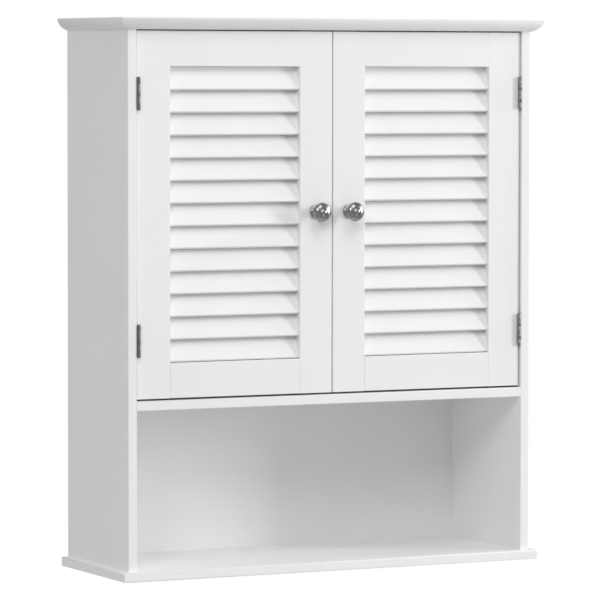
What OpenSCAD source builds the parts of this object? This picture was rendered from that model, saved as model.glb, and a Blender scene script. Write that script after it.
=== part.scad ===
// Hanging wall cabinet: two louvred doors above an open compartment.
// Frame: +Z up, the wall is the plane y = 0 and the cabinet stands out towards -Y,
// x = 0 is the middle, and z = 0 is the height of the two hanging holes.
// Left and right are as seen from the front.

/* [Carcass] */
// Width over the two side panels
body_w = 572; // [420:1:900]
// Depth of the side panels, wall to front edge
body_d = 190; // [150:1:320]
// Height from the underside of the base board to the top of the top board
body_h = 703; // [560:1:1000]
// Thickness of the side panels
side_t = 12; // [12:0.5:20]
// Thickness of the base board
base_t = 12; // [12:0.5:20]
// Thickness of the top board
top_t = 15; // [15:0.5:25]
// Thickness of the fixed and the adjustable shelf
shelf_t = 12; // [12:0.5:20]
// Clear height of the open compartment
open_h = 201; // [120:1:280]
// Small rounding of the boards' front edges
edge_r = 1; // [0.5:0.1:2]

/* [Top and base overhang] */
// How far the top board stands out at the front and at each side
top_over = 14; // [8:0.5:24]
// Radius of the top board's moulded edge
top_round = 19; // [18:0.5:30]
// Height of the flat band above the moulded edge
top_nose = 1.5; // [1.2:0.1:4]
// Width of the flat strip between the side panels and the moulded edge
top_foot = 1; // [0.5:0.1:3]
// How far the base board stands out at the front and at each side
base_over = 9; // [3:0.5:20]
// Rounding of the base board's edges
base_round = 1.5; // [0.5:0.1:3]

/* [Back panel and hanging rail] */
// Thickness of the back panel
back_t = 3; // [3:0.5:5]
// Width of the rebates that hold the back panel, open to the wall
rebate_w = 7.5; // [7:0.5:8]
// Gap round the back panel in its rebates
rebate_gap = 0.4; // [0.2:0.1:0.6]
// Height of the hanging rail
rail_h = 60; // [45:1:90]
// Thickness of the hanging rail
rail_t = 12; // [12:0.5:18]
// Distance between the two hanging holes
hang_spacing = 480; // [240:1:480]
// Diameter of the hanging holes
hang_hole_d = 5.5; // [4.5:0.1:7]

/* [Adjustable shelf] */
// Height of the shelf's underside above the fixed shelf
shelf_rise = 226; // [120:1:260]
// How far the shelf's front edge lies behind the side panels' front edges
shelf_setback = 30; // [28:1:60]
// Gap between the shelf and each side panel
shelf_gap = 1; // [0.5:0.1:2]
// Distance between neighbouring shelf pin holes
pin_pitch = 32; // [25:1:40]
// Diameter of the shelf pins
pin_d = 5; // [5:0.5:7]

/* [Doors] */
// Thickness of the doors
door_t = 18; // [16:0.5:22]
// How far the doors' faces lie behind the side panels' front edges
door_recess = 3; // [2:0.1:6]
// Gap at the sides of the doors, between them and above them
door_gap = 1.6; // [1.6:0.1:4]
// Gap between the doors and the fixed shelf
door_gap_low = 2.5; // [1.5:0.1:4]
// Width of the door stiles
stile_w = 45.5; // [38:0.5:60]
// Height of the door rails
door_rail_h = 44.25; // [36:0.25:60]
// Rounding of the door frames' front edges
door_edge_r = 0.8; // [0.4:0.1:1.5]
// Length of the tenons on the door rails
tenon_l = 12; // [8:0.5:20]
// Thickness of the tenons on the door rails
tenon_t = 6; // [4:0.5:8]
// Height of the shoulders above and below a tenon
tenon_shoulder = 7; // [5:0.5:10]

/* [Louvres] */
// Number of slats in a door
slat_count = 13; // [8:1:13]
// Thickness of a slat
slat_t = 5; // [4:0.25:6]
// How far a slat's front edge lies behind the door's face
slat_recess = 1.5; // [0.5:0.1:3]
// How far a slat's back edge lies in front of the door's back
slat_back = 0.5; // [0.3:0.1:2]
// How far a slat reaches up behind the front edge of the slat or rail above it
slat_overlap = 1; // [0.5:0.1:4]
// How far the lowest slat's front edge lies above the bottom rail
slat_lift = 1.8; // [1.8:0.1:4]
// Depth that a slat's end enters the stile
slat_seat = 6; // [4:0.5:10]
// Rounding of a slat's edges
slat_round = 1.6; // [0.5:0.1:2]

/* [Hinges] */
// Length of a hinge
hinge_l = 40; // [30:1:60]
// Radius of a hinge knuckle
knuckle_r = 2.4; // [2.2:0.1:3.5]
// Radius of a hinge pin
pin_r = 1.2; // [1:0.1:1.6]
// Play between the two leaves of a closed hinge; the leaves fill the rest of the doors' side gap
leaf_play = 0.2; // [0.1:0.05:0.4]
// Distance from a leaf's back edge to the door's back
leaf_back = 2; // [1:0.5:4]
// Distance from the door's top to the middle of the upper hinge
hinge_top = 78; // [50:1:120]
// Distance from the door's bottom to the middle of the lower hinge
hinge_low = 73; // [50:1:120]

/* [Knobs and catches] */
// Diameter of the knob's ball
knob_d = 24.5; // [20:0.5:32]
// Thickness of the knob's ball
knob_ball_h = 14; // [10:0.5:18]
// How far the knob stands out from the door
knob_out = 24.5; // [22:0.5:30]
// Diameter of the knob's collar
collar_d = 18; // [14:0.5:20]
// Height of the knob above the door's middle
knob_rise = 1; // [-60:1:60]
// Width of the catch body
catch_w = 24; // [20:1:30]
// Height of the catch body
catch_h = 14; // [12:0.5:18]
// Depth of the catch body
catch_d = 13; // [12:0.5:18]
// Gap between the magnet and the strike plate
magnet_gap = 0.3; // [0.2:0.1:0.6]

/* [Fasteners] */
// Diameter of the dowels
dowel_d = 6; // [5:0.5:8]
// Length of the dowels
dowel_l = 26; // [22:1:32]
// Depth of a dowel in a board's face
dowel_face = 8; // [6:0.5:9]
// Length of the carcass screws
screw_l = 40; // [35:1:50]
// Shank radius of the carcass screws
screw_r = 2; // [1.5:0.1:2.2]
// Length of the small screws
small_l = 10; // [8:0.5:10]
// Shank radius of the small screws
small_r = 1.3; // [1:0.1:1.5]

/* [Hidden] */
$fn = 48;
// Clearance round pieces that are pushed or screwed into each other
fit = 0.05;
// Clearance round tenons and slat ends in the stiles
loose = 0.1;
eps = 0.01;

// Heights, from the hanging holes at z = 0
top_under = rail_h / 2;
body_top = top_under + top_t;
base_under = body_top - body_h;
base_top = base_under + base_t;
fixed_under = base_top + open_h;
fixed_top = fixed_under + shelf_t;
rail_under = top_under - rail_h;
shelf_under = fixed_top + shelf_rise;

// Widths and depths
in_x = body_w / 2 - side_t;
front_y = -body_d;
back_y = -back_t;
rail_y = -rail_t / 2;

// Moulded edge of the top board: the arc runs from its foot under the overhang up to its nose.
// Both are given as distance out from the side panels, and height
top_arc_foot = [top_foot, top_under];
top_arc_nose = [top_over, body_top - top_nose];
top_chord = top_arc_nose - top_arc_foot;
top_arc_up = sqrt(pow(top_round, 2) - pow(norm(top_chord) / 2, 2));
top_arc_mid = (top_arc_foot + top_arc_nose) / 2
    + [-top_chord.y, top_chord.x] * top_arc_up / norm(top_chord);

// Doors
door_y = front_y + door_recess;
door_back = door_y + door_t;
door_x0 = door_gap / 2;
door_x1 = in_x - door_gap;
door_z0 = fixed_top + door_gap_low;
door_z1 = top_under - door_gap;
door_mid = (door_z0 + door_z1) / 2;
bay_x0 = door_x0 + stile_w;
bay_x1 = door_x1 - stile_w;
bay_z0 = door_z0 + door_rail_h;
bay_z1 = door_z1 - door_rail_h;
tenon_h = door_rail_h - 2 * tenon_shoulder;

// Louvres: a slat fills the door's thickness between its two setbacks and rises one pitch and the overlap
slat_pitch = (bay_z1 - bay_z0 - slat_lift) / slat_count;
slat_rise = slat_pitch + slat_overlap;
slat_depth = door_t - slat_recess - slat_back;
tilt_try = atan((slat_depth - slat_t) / slat_rise);
slat_tilt = atan((slat_depth - slat_t * cos(tilt_try)) / slat_rise);
slat_w = slat_rise / cos(slat_tilt);

// Hinges: the knuckle stands in the corner between the door's face and the side panel
knuckle_clear = 0.25;
axis_x = in_x - knuckle_r - knuckle_clear;
axis_y = door_y - knuckle_r - knuckle_clear;
leaf_t = (door_gap - leaf_play) / 2;
hinge_z = [door_z0 + hinge_low, door_z1 - hinge_top];
knuckle_gap = 0.15;
knuckle_l = (hinge_l - 4 * knuckle_gap) / 5;
leaf_clear = 0.15;
leaf_y0 = axis_y + knuckle_r + leaf_clear;
leaf_y1 = door_back - leaf_back;
leaf_screw_y = door_y + door_t / 2;
leaf_screw_dz = hinge_l * 0.29;

// Knobs
knob_x = door_x0 + stile_w / 2;
knob_z = door_mid + knob_rise;
knob_mid = knob_out - knob_ball_h / 2;
rim_r = 0.4 * knob_ball_h;
rim_x = knob_d / 2 - rim_r;
neck_r = 5;
knob_bore_r = screw_r + fit;
knob_bore_l = 9;
knob_head_r = 4.2;
knob_head_h = 2.4;

// Catches and strike plates
strike_t = 1;
strike_w = catch_w + 10;
strike_h = 12;
strike_z = door_z1 - 1 - strike_h / 2;
strike_screw_dx = strike_w / 2 - 4.5;
ear_w = 9;
ear_t = 3;
magnet_w = 14;
magnet_h = 6;
magnet_d = 9;
magnet_out = 0.5;
magnet_y = door_back + strike_t + magnet_gap;
catch_y = magnet_y + magnet_out;
ear_screw_dx = catch_w / 2 + ear_w / 2;

// Shelf pins
tongue_t = 1.5;
tongue_l = 8;
tongue_w = 9;
pin_plate_h = 9;
pin_z = shelf_under - pin_plate_h / 2;
pin_depth = 7;
pin_y = [front_y + shelf_setback + 22, back_y - 28];
shelf_back = back_y - 1;

// Fastener places
joint_y = [front_y + 45, -45];
top_screw_y = [front_y + 22, -25];
side_mid = in_x + side_t / 2;
rail_dowel_z = rail_h / 2 - 12;
rail_dowel_x = in_x * 0.45;
back_screw_in = rebate_w / 2;
back_screw_x = in_x * 0.6;
back_screw_rows = 4;

function two(n) = n < 10 ? str("0", n) : str(n);
function slat_name(side, n) = str(side, "_slat_", two(n));

// ---- helpers ----

// Box from one corner to the opposite one
module span(a, b) {
    translate(a) cube(b - a);
}

// What is drawn for the right is mirrored for the left
module on_side(side) {
    if (side == "left") mirror([1, 0, 0]) children();
    else children();
}

module both_sides() {
    children();
    mirror([1, 0, 0]) children();
}

// Points along an arc from angle a0 to a1
function arc(cx, cy, r, a0, a1, steps = 12) =
    [for (i = [0:steps]) let (a = a0 + (a1 - a0) * i / steps) [cx + r * cos(a), cy + r * sin(a)]];

// Rounded rectangle about the origin, with true arcs
module rounded_bar(w, t, r) {
    square([w - 2 * r, t], center = true);
    square([w, t - 2 * r], center = true);
    for (sx = [-1, 1]) for (sy = [-1, 1])
        translate([sx * (w / 2 - r), sy * (t / 2 - r)]) circle(r = r);
}

// Rounds the two front corners of a board seen from above, standing from z0 to z1
module upright_board(x0, x1, y0, y1, z0, z1, r) {
    translate([0, 0, z0]) linear_extrude(z1 - z0) difference() {
        translate([x0, y0]) square([x1 - x0, y1 - y0]);
        front_corner_2d(x0, y0, r, 1);
        front_corner_2d(x1, y0, r, -1);
    }
}

module front_corner_2d(x, y, r, dir) {
    difference() {
        translate([x + (dir > 0 ? -1 : -r), y - 1]) square([r + 1, r + 1]);
        translate([x + dir * r, y + r]) circle(r = r);
    }
}

// A lying board with its front edge rounded above and below
module lying_board(x0, x1, y0, y1, z0, z1, r) {
    translate([x0, 0, 0]) rotate([90, 0, 90]) linear_extrude(x1 - x0) difference() {
        translate([y0, z0]) square([y1 - y0, z1 - z0]);
        front_corner_2d(y0, z0, r, 1);
        mirror([0, 1]) front_corner_2d(y0, -z1, r, 1);
    }
}

// Dowel of the given length from the origin along +Z, with chamfered ends
module dowel(r, l) {
    chamfer = 0.8;
    cylinder(r1 = r - chamfer, r2 = r, h = chamfer);
    translate([0, 0, chamfer]) cylinder(r = r, h = l - 2 * chamfer);
    translate([0, 0, l - chamfer]) cylinder(r1 = r, r2 = r - chamfer, h = chamfer);
}

// Countersunk screw along +Z, its flat head at the origin; grow is the clearance of its hole
module countersunk(r, l, grow = 0) {
    cylinder(r1 = 2 * r + grow, r2 = r + grow, h = r);
    translate([0, 0, r - eps]) cylinder(r = r + grow, h = l - 2 * r + 2 * eps);
    translate([0, 0, l - r]) cylinder(r1 = r + grow, r2 = 0.3 * r + grow, h = r);
}

// The same screw with its cross recess
module cross_screw(r, l) {
    difference() {
        countersunk(r, l);
        for (turn = [0, 90]) rotate(turn)
            translate([-1.1 * r, -0.2 * r, -eps]) cube([2.2 * r, 0.4 * r, 0.6 * r + eps]);
    }
}

// Hole for a countersunk screw, open at the head
module screw_hole(r, l) {
    countersunk(r, l + fit, fit);
    translate([0, 0, -1]) cylinder(r = 2 * r + fit, h = 1 + eps);
}

// ---- fastener places, each drawn at the origin of its own axes ----

// Dowels along +Z start in a board's face and end in the neighbour's edge
module at_dowels() {
    for (y = joint_y) {
        for (x = [-side_mid, side_mid]) {
            translate([x, y, base_top - dowel_face]) children();
            translate([x, y, top_under + dowel_face]) rotate([180, 0, 0]) children();
        }
        both_sides() translate([in_x + dowel_face, y, fixed_under + shelf_t / 2])
            rotate([0, -90, 0]) children();
    }
    both_sides() {
        for (dz = [-rail_dowel_z, rail_dowel_z])
            translate([in_x + dowel_face, rail_y, top_under - rail_h / 2 + dz])
                rotate([0, -90, 0]) children();
        translate([rail_dowel_x, rail_y, top_under + dowel_face]) rotate([180, 0, 0]) children();
    }
}

module at_carcass_screws() {
    for (y = top_screw_y) for (x = [-side_mid, side_mid]) {
        translate([x, y, base_under]) children();
        translate([x, y, body_top]) rotate([180, 0, 0]) children();
    }
}

module at_hanging_holes() {
    for (x = [-hang_spacing / 2, hang_spacing / 2])
        translate([x, 0, 0]) rotate([90, 0, 0]) children();
}

// Screws of the back panel, pointing away from the wall
module at_back_screws() {
    height = rail_under - base_top;
    for (n = [0.5:back_screw_rows]) for (x = [-in_x - back_screw_in, in_x + back_screw_in])
        translate([x, 0, base_top + height * n / back_screw_rows]) rotate([90, 0, 0]) children();
    for (z = [base_top - back_screw_in, fixed_under + shelf_t / 2, rail_under + back_screw_in])
        for (x = [-back_screw_x, 0, back_screw_x])
            translate([x, 0, z]) rotate([90, 0, 0]) children();
}

module at_catches() {
    both_sides() translate([knob_x, 0, 0]) children();
}

module at_ear_screws() {
    at_catches() for (dx = [-ear_screw_dx, ear_screw_dx])
        translate([dx, catch_y + catch_d / 2, top_under - ear_t]) children();
}

// Screws of the cabinet's hinge leaves on the right, pointing into the side panel
module at_side_leaf_screws() {
    for (z = hinge_z) for (dz = [-leaf_screw_dz, leaf_screw_dz])
        translate([in_x - leaf_t, leaf_screw_y, z + dz]) rotate([0, 90, 0]) children();
}

// Screws of a right door's hinge leaves, pointing into the stile
module at_door_leaf_screws() {
    for (z = hinge_z) for (dz = [-leaf_screw_dz, leaf_screw_dz])
        translate([door_x1 + leaf_t, leaf_screw_y, z + dz]) rotate([0, -90, 0]) children();
}

module at_strike_screws() {
    for (dx = [-strike_screw_dx, strike_screw_dx])
        translate([knob_x + dx, door_back + strike_t, strike_z]) rotate([90, 0, 0]) children();
}

module dowel_holes() {
    at_dowels() translate([0, 0, -fit]) cylinder(r = dowel_d / 2 + fit, h = dowel_l + 2 * fit);
}

module carcass_screw_holes() {
    at_carcass_screws() screw_hole(screw_r, screw_l);
}

module back_screw_holes() {
    at_back_screws() screw_hole(small_r, small_l);
}

// ---- carcass ----

// Half profile of the top board's edge: flat band above, moulded arc below
module top_edge_2d(reach, inner) {
    difference() {
        translate([inner, top_under]) square([reach - inner, top_t]);
        translate([reach - top_over, 0]) difference() {
            translate([top_arc_foot.x, top_under - 1]) square([top_over, top_t - top_nose + 1.2]);
            translate(top_arc_mid) circle(r = top_round, $fn = 96);
        }
        difference() {
            translate([reach - edge_r, body_top - edge_r]) square(edge_r + 1);
            translate([reach - edge_r, body_top - edge_r]) circle(r = edge_r);
        }
    }
}

module top_board() {
    half = body_w / 2 + top_over;
    deep = body_d + top_over;
    color("white") difference() {
        intersection() {
            translate([-half, 0, 0]) rotate([90, 0, 90]) linear_extrude(2 * half)
                mirror([1, 0]) top_edge_2d(deep, 0);
            rotate([90, 0, 0]) linear_extrude(deep) {
                top_edge_2d(half, -eps);
                mirror([1, 0]) top_edge_2d(half, -eps);
            }
        }
        dowel_holes();
        carcass_screw_holes();
        at_ear_screws() screw_hole(small_r, small_l);
    }
}

// Half profile of the base board's edge
module base_edge_2d(reach, inner) {
    difference() {
        translate([inner, base_under]) square([reach - inner, base_t]);
        for (up = [0, 1]) translate([0, up * (2 * base_under + base_t)]) mirror([0, up])
            difference() {
                translate([reach - base_round, base_under - 1]) square(base_round + 1);
                translate([reach - base_round, base_under + base_round]) circle(r = base_round);
            }
    }
}

module base_board() {
    half = body_w / 2 + base_over;
    deep = body_d + base_over;
    color("white") difference() {
        intersection() {
            translate([-half, 0, 0]) rotate([90, 0, 90]) linear_extrude(2 * half)
                mirror([1, 0]) base_edge_2d(deep, 0);
            rotate([90, 0, 0]) linear_extrude(deep) {
                base_edge_2d(half, -eps);
                mirror([1, 0]) base_edge_2d(half, -eps);
            }
        }
        back_rebate();
        dowel_holes();
        carcass_screw_holes();
        back_screw_holes();
    }
}

// The space that the back panel's rebates take, with the gap round the panel
module back_rebate() {
    span([-in_x - rebate_w, back_y, base_top - rebate_w], [in_x + rebate_w, 1, rail_under + rebate_w]);
}

module shelf_pin_holes() {
    both_sides() for (y = pin_y) for (step = [-1:1])
        translate([in_x - 1, y, pin_z + step * pin_pitch]) rotate([0, 90, 0])
            cylinder(r = pin_d / 2 + fit, h = pin_depth + 1 + fit);
}

module side_panel() {
    color("white") difference() {
        upright_board(in_x, in_x + side_t, front_y, 0, base_top, top_under, edge_r);
        back_rebate();
        dowel_holes();
        carcass_screw_holes();
        back_screw_holes();
        shelf_pin_holes();
        at_side_leaf_screws() screw_hole(small_r, small_l);
    }
}

module fixed_shelf() {
    color("white") difference() {
        lying_board(-in_x, in_x, front_y, back_y, fixed_under, fixed_top, edge_r);
        dowel_holes();
        back_screw_holes();
    }
}

module back_panel() {
    edge = rebate_w - rebate_gap;
    color("whitesmoke") difference() {
        span([-in_x - edge, back_y, base_top - edge], [in_x + edge, 0, rail_under + edge]);
        back_screw_holes();
    }
}

module hanging_rail() {
    color("white") difference() {
        span([-in_x, -rail_t, rail_under], [in_x, 0, top_under]);
        back_rebate();
        dowel_holes();
        back_screw_holes();
        at_hanging_holes() translate([0, 0, -1]) cylinder(r = hang_hole_d / 2, h = rail_t + 2);
    }
}

module adjustable_shelf() {
    color("white") lying_board(-in_x + shelf_gap, in_x - shelf_gap, front_y + shelf_setback,
                               shelf_back, shelf_under, shelf_under + shelf_t, edge_r);
}

// An L-shaped pin: peg in the side panel, plate against it, tongue under the shelf
module shelf_pins() {
    color("silver") both_sides() for (y = pin_y) {
        translate([in_x - eps, y, pin_z]) rotate([0, 90, 0])
            cylinder(r = pin_d / 2, h = pin_depth + eps);
        span([in_x - tongue_t, y - tongue_w / 2, shelf_under - pin_plate_h],
             [in_x, y + tongue_w / 2, shelf_under]);
        span([in_x - tongue_l, y - tongue_w / 2, shelf_under - tongue_t],
             [in_x, y + tongue_w / 2, shelf_under]);
    }
}

module carcass_dowels() {
    color("burlywood") at_dowels() dowel(dowel_d / 2, dowel_l);
}

module carcass_screws() {
    color("silver") at_carcass_screws() cross_screw(screw_r, screw_l);
}

// ---- catches ----

module magnet_space(grow) {
    z = strike_z;
    span([-magnet_w / 2 - grow, magnet_y, z - magnet_h / 2 - grow],
         [magnet_w / 2 + grow, magnet_y + magnet_d + grow, z + magnet_h / 2 + grow]);
}

module catch_housings() {
    color("white") difference() {
        at_catches() difference() {
            union() {
                span([-catch_w / 2, catch_y, top_under - catch_h],
                     [catch_w / 2, catch_y + catch_d, top_under]);
                span([-catch_w / 2 - ear_w, catch_y, top_under - ear_t],
                     [catch_w / 2 + ear_w, catch_y + catch_d, top_under]);
            }
            magnet_space(fit);
        }
        at_ear_screws() screw_hole(small_r, small_l);
    }
}

module catch_magnets() {
    color("dimgray") at_catches() magnet_space(0);
}

// ---- hinges: drawn for the right side ----

// Knuckles first to last, every second one
module knuckles(first, z) {
    for (n = [first:2:4])
        translate([axis_x, axis_y, z - hinge_l / 2 + n * (knuckle_l + knuckle_gap)])
            cylinder(r = knuckle_r, h = knuckle_l);
}

module pin_bore(z) {
    translate([axis_x, axis_y, z - hinge_l / 2 - 1]) cylinder(r = pin_r + fit, h = hinge_l + 2);
}

// One leaf: a plate from x0 that is leaf_t thick, with tabs into its own knuckles
module leaf(first, x0, z) {
    difference() {
        union() {
            span([x0, leaf_y0, z - hinge_l / 2], [x0 + leaf_t, leaf_y1, z + hinge_l / 2]);
            for (n = [first:2:4]) {
                low = z - hinge_l / 2 + n * (knuckle_l + knuckle_gap);
                span([x0, axis_y, low], [x0 + leaf_t, leaf_y0 + eps, low + knuckle_l]);
            }
            knuckles(first, z);
        }
        pin_bore(z);
    }
}

module cabinet_hinge_leaves() {
    color("gray") both_sides() difference() {
        for (z = hinge_z) leaf(0, in_x - leaf_t, z);
        at_side_leaf_screws() screw_hole(small_r, small_l);
    }
}

module door_hinge_leaves() {
    color("gray") difference() {
        for (z = hinge_z) leaf(1, door_x1, z);
        at_door_leaf_screws() screw_hole(small_r, small_l);
    }
}

module hinge_pins() {
    head_h = 0.8;
    color("gray") both_sides() for (z = hinge_z)
        translate([axis_x, axis_y, z]) {
            translate([0, 0, -hinge_l / 2 - head_h]) cylinder(r1 = 1.7, r2 = 2.2, h = head_h);
            translate([0, 0, -hinge_l / 2 - eps]) cylinder(r = pin_r, h = hinge_l + 2 * eps);
            translate([0, 0, hinge_l / 2]) cylinder(r1 = 2.2, r2 = 1.7, h = head_h);
        }
}

module cabinet_small_screws() {
    color("silver") {
        both_sides() at_side_leaf_screws() cross_screw(small_r, small_l);
        at_ear_screws() cross_screw(small_r, small_l);
        at_back_screws() cross_screw(small_r, small_l);
    }
}

// ---- doors: drawn for the right side ----

// One slat's section in the door, in the plane of Y and Z, grown by the given clearance
module slat_bar(n, x0, x1, grow) {
    low_z = bay_z0 + slat_lift + n * slat_pitch;
    translate([x0, door_y + slat_recess, low_z]) rotate([-slat_tilt, 0, 0])
        translate([0, slat_t / 2, slat_w / 2]) rotate([90, 0, 90])
            linear_extrude(x1 - x0)
                rounded_bar(slat_t + 2 * grow, slat_w + 2 * grow, slat_round + grow);
}

module slat(n) {
    color("white") slat_bar(n - 1, bay_x0 - slat_seat, bay_x1 + slat_seat, 0);
}

module slat_seats(x0, x1) {
    for (n = [0:slat_count - 1]) slat_bar(n, x0, x1, loose);
}

// The tenons of both rails at one stile, reaching from x0 to x1
module tenons(x0, x1, grow) {
    for (z = [door_z0 + door_rail_h / 2, door_z1 - door_rail_h / 2])
        span([x0, door_y + (door_t - tenon_t) / 2 - grow, z - tenon_h / 2 - grow],
             [x1, door_y + (door_t + tenon_t) / 2 + grow, z + tenon_h / 2 + grow]);
}

module knob_screw_hole() {
    translate([knob_x, door_back + eps, knob_z]) rotate([90, 0, 0])
        cylinder(r = screw_r + fit, h = door_t + 2 * eps);
}

module hinge_stile() {
    color("white") difference() {
        upright_board(bay_x1, door_x1, door_y, door_back, door_z0, door_z1, door_edge_r);
        slat_seats(bay_x1 - 1, bay_x1 + slat_seat);
        tenons(bay_x1 - 1, bay_x1 + tenon_l, loose);
        at_door_leaf_screws() screw_hole(small_r, small_l);
    }
}

module meeting_stile() {
    color("white") difference() {
        upright_board(door_x0, bay_x0, door_y, door_back, door_z0, door_z1, door_edge_r);
        slat_seats(bay_x0 - slat_seat, bay_x0 + 1);
        tenons(bay_x0 - tenon_l, bay_x0 + 1, loose);
        knob_screw_hole();
        at_strike_screws() screw_hole(small_r, small_l);
    }
}

module door_rail(z0) {
    color("white") difference() {
        union() {
            lying_board(bay_x0, bay_x1, door_y, door_back, z0, z0 + door_rail_h, door_edge_r);
            intersection() {
                tenons(bay_x0 - tenon_l, bay_x1 + tenon_l, 0);
                span([0, door_y, z0], [in_x, door_back, z0 + door_rail_h]);
            }
        }
        slat_seats(bay_x0 - 1, bay_x1 + 1);
        at_strike_screws() screw_hole(small_r, small_l);
    }
}

// Section of the knob, radius against height above the door
module knob_2d() {
    lens_k = (pow(rim_x, 2) - pow(knob_ball_h / 2 - rim_r, 2)) / (2 * (knob_ball_h / 2 - rim_r));
    lens_r = knob_ball_h / 2 + lens_k;
    lens_x = rim_x * lens_r / (lens_r - rim_r);
    collar_r = collar_d / 2;
    ring_r = collar_r - 1.4;
    square([collar_r - 0.5, 2.2]);
    translate([0, 0.5]) square([collar_r, 1.2]);
    translate([collar_r - 0.5, 0.5]) circle(r = 0.5);
    translate([collar_r - 0.5, 1.7]) circle(r = 0.5);
    square([ring_r, 3.4]);
    translate([0, 3.3]) polygon([[0, 0], [ring_r - 0.4, 0], [neck_r, 2], [0, 2]]);
    square([neck_r, knob_mid]);
    translate([rim_x, knob_mid]) circle(r = rim_r);
    intersection() {
        translate([0, knob_mid + lens_k]) circle(r = lens_r);
        translate([0, knob_mid - lens_k]) circle(r = lens_r);
        translate([0, knob_mid - knob_ball_h / 2]) square([lens_x, knob_ball_h]);
    }
}

module knob() {
    color("lightgray") translate([knob_x, door_y, knob_z]) rotate([90, 0, 0]) difference() {
        rotate_extrude($fn = 72) intersection() {
            knob_2d();
            square([knob_d, knob_out + 1]);
        }
        translate([0, 0, -eps]) cylinder(r = knob_bore_r, h = knob_bore_l + eps);
    }
}

module knob_screw() {
    color("silver") translate([knob_x, door_back, knob_z]) rotate([90, 0, 0]) difference() {
        union() {
            translate([0, 0, -knob_head_h]) cylinder(r = knob_head_r, h = knob_head_h);
            translate([0, 0, -eps]) cylinder(r = screw_r, h = door_t + knob_bore_l - 1 + eps);
        }
        for (turn = [0, 90]) rotate(turn)
            translate([-2.2, -0.5, -knob_head_h - eps]) cube([4.4, 1, 1.4 + eps]);
    }
}

module strike_plate() {
    color("silver") difference() {
        span([knob_x - strike_w / 2, door_back, strike_z - strike_h / 2],
             [knob_x + strike_w / 2, door_back + strike_t, strike_z + strike_h / 2]);
        at_strike_screws() screw_hole(small_r, small_l);
    }
}

module door_small_screws() {
    color("silver") {
        at_door_leaf_screws() cross_screw(small_r, small_l);
        at_strike_screws() cross_screw(small_r, small_l);
    }
}

// ---- nodes ----

top_board();
base_board();
on_side("left") side_panel();  // left_side
on_side("right") side_panel();  // right_side
fixed_shelf();
back_panel();
hanging_rail();
adjustable_shelf();
shelf_pins();
carcass_dowels();
carcass_screws();
catch_housings();
catch_magnets();
cabinet_hinge_leaves();
hinge_pins();
cabinet_small_screws();
for (side = ["left", "right"]) on_side(side) {
    hinge_stile();
    meeting_stile();
    door_rail(bay_z1);
    door_rail(door_z0);
    door_hinge_leaves();
    knob();
    knob_screw();
    strike_plate();
    door_small_screws();
    for (n = [1:slat_count])
        slat(n);
}
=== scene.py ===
"""Looks of the hanging wall cabinet: painted boards and slats, metal knobs and hinges, camera and light."""

import math

import bmesh
import bpy
from mathutils import Matrix, Vector


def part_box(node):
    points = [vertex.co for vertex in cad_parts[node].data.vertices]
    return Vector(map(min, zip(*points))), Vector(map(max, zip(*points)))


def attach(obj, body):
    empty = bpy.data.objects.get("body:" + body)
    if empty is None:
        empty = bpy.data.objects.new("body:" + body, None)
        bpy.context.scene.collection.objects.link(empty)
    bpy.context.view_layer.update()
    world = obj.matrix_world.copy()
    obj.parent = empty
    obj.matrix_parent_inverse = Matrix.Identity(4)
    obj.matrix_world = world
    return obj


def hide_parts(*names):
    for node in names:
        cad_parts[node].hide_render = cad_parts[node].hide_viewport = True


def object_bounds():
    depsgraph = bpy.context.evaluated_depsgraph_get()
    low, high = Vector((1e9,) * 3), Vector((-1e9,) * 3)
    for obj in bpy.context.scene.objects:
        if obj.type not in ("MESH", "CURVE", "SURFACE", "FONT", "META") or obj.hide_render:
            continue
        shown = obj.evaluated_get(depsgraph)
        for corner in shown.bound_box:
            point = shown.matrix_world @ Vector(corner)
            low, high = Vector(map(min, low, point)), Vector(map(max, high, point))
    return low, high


MM = 0.001
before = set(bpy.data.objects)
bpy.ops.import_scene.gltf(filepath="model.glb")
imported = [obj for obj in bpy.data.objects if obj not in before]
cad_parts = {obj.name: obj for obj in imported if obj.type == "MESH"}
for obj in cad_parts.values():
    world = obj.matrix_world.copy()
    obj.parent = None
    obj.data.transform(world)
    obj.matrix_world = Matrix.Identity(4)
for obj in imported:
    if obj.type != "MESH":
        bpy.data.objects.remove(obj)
bpy.context.view_layer.update()
cad_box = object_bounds()


# ---- node helpers ----

# Sockets of the Mix node that carry colours: its two inputs and its result
MIX_A, MIX_B, MIX_RESULT = 6, 7, 2


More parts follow.
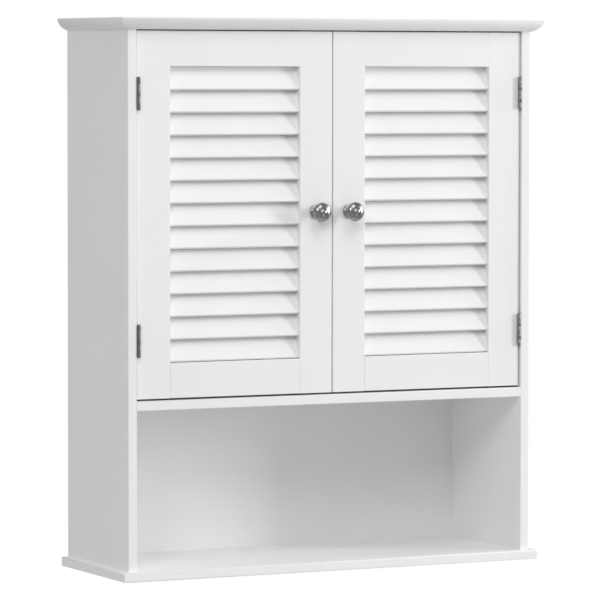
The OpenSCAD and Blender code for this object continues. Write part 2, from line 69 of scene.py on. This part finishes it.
class Shader:
    """A material under construction, with short calls for the nodes that the finishes use."""

    def __init__(self, name):
        self.mat = bpy.data.materials.new(name)
        self.mat.use_nodes = True
        self.tree = self.mat.node_tree
        self.tree.nodes.clear()
        out = self.node("ShaderNodeOutputMaterial")
        self.bsdf = self.node("ShaderNodeBsdfPrincipled")
        self.link(self.bsdf.outputs["BSDF"], out.inputs["Surface"])
        self.place = self.node("ShaderNodeTexCoord").outputs["Object"]

    def node(self, kind, **props):
        n = self.tree.nodes.new(kind)
        for key, value in props.items():
            setattr(n, key, value)
        return n

    def link(self, a, b):
        self.tree.links.new(a, b)

    def stretched(self, scale):
        """Object coordinates scaled along each axis."""
        n = self.node("ShaderNodeMapping")
        n.inputs["Scale"].default_value = scale
        self.link(self.place, n.inputs["Vector"])
        return n.outputs["Vector"]

    def noise(self, scale, detail=2.0, rough=0.5, coords=None):
        """Noise with about `scale` cells to the metre, over the object's own coordinates or those given."""
        n = self.node("ShaderNodeTexNoise")
        n.inputs["Scale"].default_value = scale
        n.inputs["Detail"].default_value = detail
        n.inputs["Roughness"].default_value = rough
        self.link(coords or self.place, n.inputs["Vector"])
        return n.outputs["Fac"]

    def ramp(self, fac, stops):
        """Colour ramp with (position, colour) stops."""
        n = self.node("ShaderNodeValToRGB")
        while len(n.color_ramp.elements) < len(stops):
            n.color_ramp.elements.new(0.5)
        for e, (at, colour) in zip(n.color_ramp.elements, stops):
            e.position = at
            e.color = (*colour, 1)
        self.link(fac, n.inputs["Fac"])
        return n.outputs["Color"]

    def span(self, fac, low, high, from_low=0.3, from_high=0.7):
        """fac stretched to run from low to high."""
        n = self.node("ShaderNodeMapRange")
        n.inputs["From Min"].default_value = from_low
        n.inputs["From Max"].default_value = from_high
        n.inputs["To Min"].default_value = low
        n.inputs["To Max"].default_value = high
        self.link(fac, n.inputs["Value"])
        return n.outputs["Result"]

    def mix(self, fac, a, b):
        """From a to b by fac; a and b are colours or sockets."""
        n = self.node("ShaderNodeMix", data_type="RGBA")
        if isinstance(fac, float):
            n.inputs["Factor"].default_value = fac
        else:
            self.link(fac, n.inputs["Factor"])
        for socket, value in ((n.inputs[MIX_A], a), (n.inputs[MIX_B], b)):
            if isinstance(value, tuple):
                socket.default_value = (*value, 1)
            else:
                self.link(value, socket)
        return n.outputs[MIX_RESULT]

    def bump(self, height, depth, strength, below=None):
        """Relief of `depth` metres, laid over the relief `below`."""
        n = self.node("ShaderNodeBump")
        n.inputs["Distance"].default_value = depth
        n.inputs["Strength"].default_value = strength
        self.link(height, n.inputs["Height"])
        if below is not None:
            self.link(below, n.inputs["Normal"])
        return n.outputs["Normal"]

    def finish(self, colour, rough, normal, **fixed):
        """Joins the parts to the surface; `fixed` sets its other inputs by name."""
        self.link(colour, self.bsdf.inputs["Base Color"])
        self.link(rough, self.bsdf.inputs["Roughness"])
        self.link(normal, self.bsdf.inputs["Normal"])
        for key, value in fixed.items():
            self.bsdf.inputs[key.replace("_", " ")].default_value = value
        return self.mat


# ---- finishes ----

PAINT_IOR = 1.46
# Tints of the paint, as shares of its tone
DULL_TINT = (0.982, 0.982, 0.978)
FLECK_TINT = (0.965, 0.965, 0.965)
RUBBED_TINT = (0.93, 0.92, 0.89)
# Cells to the metre of the marks of sanding, along them and across
SANDING_ALONG, SANDING_ACROSS = 40, 900
# Depths of the paint's relief in metres
SAG_DEPTH, PEEL_DEPTH, SANDING_DEPTH = 0.00015, 0.00003, 0.00002


def tinted(tone, tint):
    return tuple(tone * c for c in tint)


def paint(name, tone, along, rough=(0.40, 0.52)):
    """Satin white sprayed on fibreboard: a fine orange peel over faint marks of sanding along one axis."""
    s = Shader(name)
    cloud = s.noise(9, 3)
    fleck = s.noise(620, 2)
    base = s.ramp(cloud, [(0.3, tinted(tone, DULL_TINT)), (0.7, (tone, tone, tone))])
    colour = s.mix(s.span(fleck, 0.0, 0.35, 0.5, 0.8), base, tinted(tone, FLECK_TINT))
    cells = tuple(SANDING_ALONG if axis == along else SANDING_ACROSS for axis in "xyz")
    sanding = s.noise(1, 3, 0.6, s.stretched(cells))
    peel = s.noise(900, 1.5)
    sag = s.noise(35, 1)
    normal = s.bump(sag, SAG_DEPTH, 0.35)
    normal = s.bump(peel, PEEL_DEPTH, 0.55, normal)
    normal = s.bump(sanding, SANDING_DEPTH, 0.4, normal)
    grain = s.mix(0.35, cloud, sanding)
    return s.finish(colour, s.span(grain, *rough), normal, IOR=PAINT_IOR)


def worn_paint(name, tone):
    """The paint where an edge is rubbed: thinner, smoother and a little warmer in spots."""
    s = Shader(name)
    rub = s.noise(160, 4, 0.65)
    colour = s.ramp(rub, [(0.42, (tone, tone, tone)), (0.72, tinted(tone, RUBBED_TINT))])
    normal = s.bump(s.noise(700, 2), PEEL_DEPTH, 0.5)
    return s.finish(colour, s.span(rub, 0.50, 0.34), normal, IOR=PAINT_IOR)


METAL_MARK_DEPTH = 0.00002
SPUN_RING_DEPTH = 0.000006


def metal(name, bright, dark, rough, scale, lines=None):
    """Plated metal: clouded brightness, and fine marks with `lines` cells to the metre on each axis."""
    s = Shader(name)
    cloud = s.noise(scale, 4, 0.6)
    marks = s.noise(1, 2, 0.5, s.stretched(lines)) if lines else s.noise(scale * 9, 2)
    colour = s.ramp(s.mix(0.4, cloud, marks), [(0.3, dark), (0.68, bright)])
    normal = s.bump(marks, METAL_MARK_DEPTH, 0.5)
    return s.finish(colour, s.span(marks, *rough), normal, Metallic=1.0)


def spun_metal(name, bright, dark, rough):
    """Turned and lacquered metal: rings about the object's own Y axis, as a lathe leaves them."""
    s = Shader(name)
    apart = s.node("ShaderNodeSeparateXYZ")
    s.link(s.place, apart.inputs[0])
    x_squared = s.node("ShaderNodeMath", operation="MULTIPLY")
    s.link(apart.outputs["X"], x_squared.inputs[0])
    s.link(apart.outputs["X"], x_squared.inputs[1])
    squares = s.node("ShaderNodeMath", operation="MULTIPLY_ADD")
    s.link(apart.outputs["Z"], squares.inputs[0])
    s.link(apart.outputs["Z"], squares.inputs[1])
    s.link(x_squared.outputs[0], squares.inputs[2])
    radius = s.node("ShaderNodeMath", operation="POWER")
    s.link(squares.outputs[0], radius.inputs[0])
    radius.inputs[1].default_value = 0.5  # the square root
    section = s.node("ShaderNodeCombineXYZ")
    s.link(radius.outputs[0], section.inputs["X"])
    s.link(apart.outputs["Y"], section.inputs["Y"])
    rings = s.noise(4200, 2, 0.5, section.outputs[0])
    cloud = s.noise(240, 3)
    colour = s.ramp(s.mix(0.35, cloud, rings), [(0.3, dark), (0.7, bright)])
    normal = s.bump(rings, SPUN_RING_DEPTH, 0.5)
    return s.finish(colour, s.span(s.mix(0.5, cloud, rings), *rough), normal, Metallic=1.0)


def bare_wood(name):
    """Unfinished beech with its grain along X."""
    s = Shader(name)
    rays = s.noise(1, 4, 0.6, s.stretched((140, 900, 900)))
    colour = s.ramp(rays, [(0.3, (0.50, 0.33, 0.18)), (0.7, (0.68, 0.50, 0.31))])
    return s.finish(colour, s.span(rays, 0.75, 0.6), s.bump(rays, 0.00006, 0.5))


def plastic(name, tone):
    """Moulded plastic with a fine grit."""
    s = Shader(name)
    cloud = s.noise(60, 3)
    grit = s.noise(1500, 2)
    colour = s.ramp(cloud, [(0.3, tinted(0.95, tone)), (0.7, tone)])
    return s.finish(colour, s.span(grit, 0.42, 0.55), s.bump(grit, 0.00002, 0.6))


# ---- materials ----

# Reflectance of the white paint
BOARD_TONE = 0.94
boards_x = paint("paint_boards_along_x", BOARD_TONE, "x")
boards_z = paint("paint_boards_along_z", BOARD_TONE, "z")
slats_x = paint("paint_slats", BOARD_TONE, "x", (0.38, 0.48))
back_white = paint("paint_back", BOARD_TONE * 0.98, "z", (0.5, 0.62))
edges = worn_paint("paint_edges", BOARD_TONE)
hinge_metal = metal("hinge_steel", (0.33, 0.33, 0.34), (0.14, 0.14, 0.15), (0.34, 0.5), 420,
                    (2600, 2600, 120))
screw_metal = metal("screw_steel", (0.66, 0.66, 0.67), (0.42, 0.42, 0.43), (0.26, 0.4), 700)
fitting_metal = metal("fitting_steel", (0.60, 0.61, 0.62), (0.40, 0.40, 0.42), (0.3, 0.45), 300,
                      (90, 2400, 2400))
knob_metal = spun_metal("knob_nickel", (0.50, 0.495, 0.485), (0.18, 0.177, 0.173), (0.22, 0.31))
magnet_dark = metal("magnet_iron", (0.13, 0.13, 0.13), (0.05, 0.05, 0.05), (0.55, 0.7), 500)
dowel_wood = bare_wood("dowel_beech")
catch_white = plastic("catch_plastic", (0.80, 0.80, 0.78))


def set_materials(obj, *mats):
    obj.data.materials.clear()
    for m in mats:
        obj.data.materials.append(m)


WELD_WITHIN = 0.002 * MM
FLAT_WITHIN = math.radians(0.5)
HARD_EDGE = math.radians(50)
EDGE_WIDTH = 0.45 * MM
THIN_EDGE_WIDTH = 0.12 * MM


def soften(obj, width, steps=2):
    """Rounds a CAD node's hard edges a little with modifiers; a second material, if any, goes on them."""
    weld = obj.modifiers.new("weld", "WELD")
    weld.merge_threshold = WELD_WITHIN
    plane = obj.modifiers.new("flat_faces", "DECIMATE")
    plane.decimate_type = "DISSOLVE"
    plane.angle_limit = FLAT_WITHIN
    bevel = obj.modifiers.new("soft_edges", "BEVEL")
    bevel.width = width
    bevel.segments = steps
    bevel.limit_method = "ANGLE"
    bevel.angle_limit = HARD_EDGE
    bevel.harden_normals = True
    bevel.use_clamp_overlap = True
    bevel.material = 1 if len(obj.data.materials) > 1 else -1


# Looks by a node's whole name, or by what follows _door_ in it; the rest are painted boards
BY_NAME = {
    "carcass_dowels": dowel_wood, "carcass_screws": screw_metal, "cabinet_small_screws": screw_metal,
    "catch_housings": catch_white, "catch_magnets": magnet_dark, "shelf_pins": fitting_metal,
    "cabinet_hinge_leaves": hinge_metal, "hinge_pins": hinge_metal,
}
BY_ENDING = {
    "hinge_leaves": hinge_metal, "knob": knob_metal, "knob_screw": screw_metal,
    "strike_plate": fitting_metal, "small_screws": screw_metal,
}
UPRIGHT = ("side", "stile")
THIN = ("hinge_leaves", "strike_plate", "catch_housings")

for name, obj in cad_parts.items():
    ending = name.split("_door_")[-1]
    if name in BY_NAME:
        set_materials(obj, BY_NAME[name])
    elif ending in BY_ENDING:
        set_materials(obj, BY_ENDING[ending])
    elif name == "back_panel":
        set_materials(obj, back_white)
    elif "_slat_" in name:
        set_materials(obj, slats_x)
    else:
        set_materials(obj, boards_z if name.endswith(UPRIGHT) else boards_x, edges)
        soften(obj, EDGE_WIDTH)
    if name.endswith(THIN):
        soften(obj, THIN_EDGE_WIDTH, 1)


# ---- knobs ----

LATHE_FACETS = 96
ON_AXIS = 1e-7


def lathe(name, outline):
    """Closed mesh turned about the Y axis. The outline is (radius, y), from the axis to the axis again."""
    bm = bmesh.new()
    angles = [2 * math.pi * i / LATHE_FACETS for i in range(LATHE_FACETS)]
    rings = []
    for radius, y in outline:
        if radius < ON_AXIS:
            rings.append([bm.verts.new((0, y, 0))])
        else:
            rings.append([bm.verts.new((radius * math.cos(a), y, radius * math.sin(a))) for a in angles])
    for a, b in zip(rings, rings[1:]):
        for i in range(LATHE_FACETS):
            j = (i + 1) % LATHE_FACETS
            corners = [a[i % len(a)], a[j % len(a)], b[j % len(b)], b[i % len(b)]]
            bm.faces.new(list(dict.fromkeys(corners)))
    bmesh.ops.recalc_face_normals(bm, faces=bm.faces)
    mesh = bpy.data.meshes.new(name)
    bm.to_mesh(mesh)
    bm.free()
    for p in mesh.polygons:
        p.use_smooth = True
    obj = bpy.data.objects.new(name, mesh)
    bpy.context.scene.collection.objects.link(obj)
    return obj


# The knob's section, in shares of the head's radius or of the knob's reach from the door
HEAD_HALF = 0.286
NECK_RADIUS = 0.40
COLLAR_RADIUS = 0.735
HEAD_STEPS = 60
# Degrees around the head from its front to where it runs into the neck
HEAD_SWEEP = 156
# Powers below 1 make the head squarer than an ellipse: outwards, and to front and back
HEAD_POWER_OUT, HEAD_POWER_DEEP = 0.92, 0.96
# (share of the neck's or collar's radius, share of the reach), from the head towards the door
NECK_STEPS = ((0.94, 0.36), (0.97, 0.30), (1.12, 0.262))
COLLAR_STEPS = (
    (0.66, 0.240), (0.76, 0.222), (0.82, 0.192), (0.835, 0.150), (0.85, 0.140), (0.93, 0.132),
    (0.98, 0.118), (1.0, 0.095), (1.0, 0.012),
)
COLLAR_FOOT = 0.985


def knob_outline(radius, reach):
    """Section of a turned knob: flattened head, narrow neck, stepped collar. The door's face is y = 0."""
    half = HEAD_HALF * reach
    middle = reach - half
    collar = COLLAR_RADIUS * radius
    neck = NECK_RADIUS * radius
    points = [(0.0, -reach)]
    for i in range(1, HEAD_STEPS + 1):
        a = math.radians(90 - i * HEAD_SWEEP / HEAD_STEPS)
        out = radius * math.cos(a) ** HEAD_POWER_OUT
        deep = math.copysign(abs(math.sin(a)) ** HEAD_POWER_DEEP, math.sin(a))
        points.append((max(out, neck), -(middle + half * deep)))
    points += [(neck * out, -deep * reach) for out, deep in NECK_STEPS]
    points += [(collar * out, -deep * reach) for out, deep in COLLAR_STEPS]
    points += [(collar * COLLAR_FOOT, 0.0), (0.0, 0.0)]
    return points


for side in ("left", "right"):
    node = f"{side}_door_knob"
    low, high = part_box(node)
    radius = (high.x - low.x) / 2
    piece = lathe(f"{side}_knob", knob_outline(radius, high.y - low.y))
    piece.location = ((low.x + high.x) / 2, high.y, (low.z + high.z) / 2)
    set_materials(piece, knob_metal)
    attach(piece, f"{side}_door")
    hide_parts(node)


# ---- camera ----

# The camera looks at AIM from CAMERA_AWAY metres, turned to the right and dipped; its lens is in mm
CAMERA_TURN = math.radians(26.434)
CAMERA_DIP = math.radians(3.221)
CAMERA_ROLL = math.radians(0.078)
CAMERA_AWAY = 5.2296
CAMERA_LENS = 246.36
SENSOR_WIDTH = 36
CLIP_END = 200
AIM = Vector((-0.0371, -0.1689, -0.31275))


def make_camera():
    data = bpy.data.cameras.new("camera")
    data.lens = CAMERA_LENS
    data.sensor_width = SENSOR_WIDTH
    data.clip_end = CLIP_END
    obj = bpy.data.objects.new("camera", data)
    bpy.context.scene.collection.objects.link(obj)
    ahead = Vector((math.sin(CAMERA_TURN) * math.cos(CAMERA_DIP),
                    math.cos(CAMERA_TURN) * math.cos(CAMERA_DIP), -math.sin(CAMERA_DIP)))
    right = Vector((math.cos(CAMERA_TURN), -math.sin(CAMERA_TURN), 0))
    up = right.cross(ahead)
    turn = Matrix((right, up, -ahead)).transposed() @ Matrix.Rotation(CAMERA_ROLL, 3, "Z")
    obj.matrix_world = Matrix.Translation(AIM - ahead * CAMERA_AWAY) @ turn.to_4x4()
    bpy.context.scene.camera = obj


# ---- stage and light ----

# Metres from the cabinet's lowest point down to the floor, and across half the floor
FLOOR_DROP = 0.64
FLOOR_RADIUS = 1.1
FLOOR_FACETS = 128
# The lights stand LIGHT_AWAY metres from the point that they face
LIT_POINT = Vector((0, -0.1, -0.3))
LIGHT_AWAY = 4.5
# name: degrees to the right, degrees up, watts, metres across
LIGHTS = {
    "key_low": (60, 5, 49, 0.8),
    "key": (60, 15, 30, 0.8),
    "right_side": (82, 20, 42, 0.6),
    "front_high": (-10, 50, 45, 2.0),
    "left_low": (-42, 27, 33, 1.0),
    "left_side": (-102, 12, 12, 1.2),
}
# Strength of the white surround where it only lights the object, and where the camera sees it
AMBIENT = 0.4
BACKDROP = 1.0


def make_floor():
    bm = bmesh.new()
    bmesh.ops.create_circle(bm, cap_ends=True, radius=FLOOR_RADIUS, segments=FLOOR_FACETS)
    mesh = bpy.data.meshes.new("floor")
    bm.to_mesh(mesh)
    bm.free()
    floor = bpy.data.objects.new("floor", mesh)
    bpy.context.scene.collection.objects.link(floor)
    floor.location = (0, 0, cad_box[0].z - FLOOR_DROP)
    s = Shader("floor_white")
    haze = s.noise(0.8, 2)
    colour = s.ramp(haze, [(0.3, (0.86, 0.86, 0.86)), (0.7, (0.88, 0.88, 0.88))])
    set_materials(floor, s.finish(colour, s.span(haze, 0.8, 0.9), s.bump(haze, 0.001, 0.1)))


def area_light(name, turn, rise, power, size):
    """Square light that faces the cabinet, `turn` degrees to its right and `rise` degrees up."""
    data = bpy.data.lights.new(name, "AREA")
    data.energy = power
    data.shape = "SQUARE"
    data.size = size
    obj = bpy.data.objects.new(name, data)
    bpy.context.scene.collection.objects.link(obj)
    turn, rise = math.radians(turn), math.radians(rise)
    towards = Vector((math.sin(turn) * math.cos(rise), -math.cos(turn) * math.cos(rise), math.sin(rise)))
    obj.location = LIT_POINT + towards * LIGHT_AWAY
    obj.rotation_euler = (-towards).to_track_quat("-Z", "Y").to_euler()


def make_world():
    """An even white studio: full white behind the object, and dimmer where it only lights the object."""
    world = bpy.data.worlds.new("studio")
    world.use_nodes = True
    tree = world.node_tree
    white = tree.nodes["Background"]
    white.inputs["Color"].default_value = (1, 1, 1, 1)
    white.inputs["Strength"].default_value = BACKDROP
    dim = tree.nodes.new("ShaderNodeBackground")
    dim.inputs["Color"].default_value = (1, 1, 1, 1)
    dim.inputs["Strength"].default_value = AMBIENT
    choose = tree.nodes.new("ShaderNodeMixShader")
    seen = tree.nodes.new("ShaderNodeLightPath")
    tree.links.new(seen.outputs["Is Camera Ray"], choose.inputs["Fac"])
    tree.links.new(dim.outputs[0], choose.inputs[1])
    tree.links.new(white.outputs[0], choose.inputs[2])
    tree.links.new(choose.outputs[0], tree.nodes["World Output"].inputs["Surface"])
    bpy.context.scene.world = world


make_camera()
make_floor()
make_world()
for light_name, (turn, rise, power, size) in LIGHTS.items():
    area_light(light_name, turn, rise, power, size)
bpy.context.scene.view_settings.view_transform = "Standard"
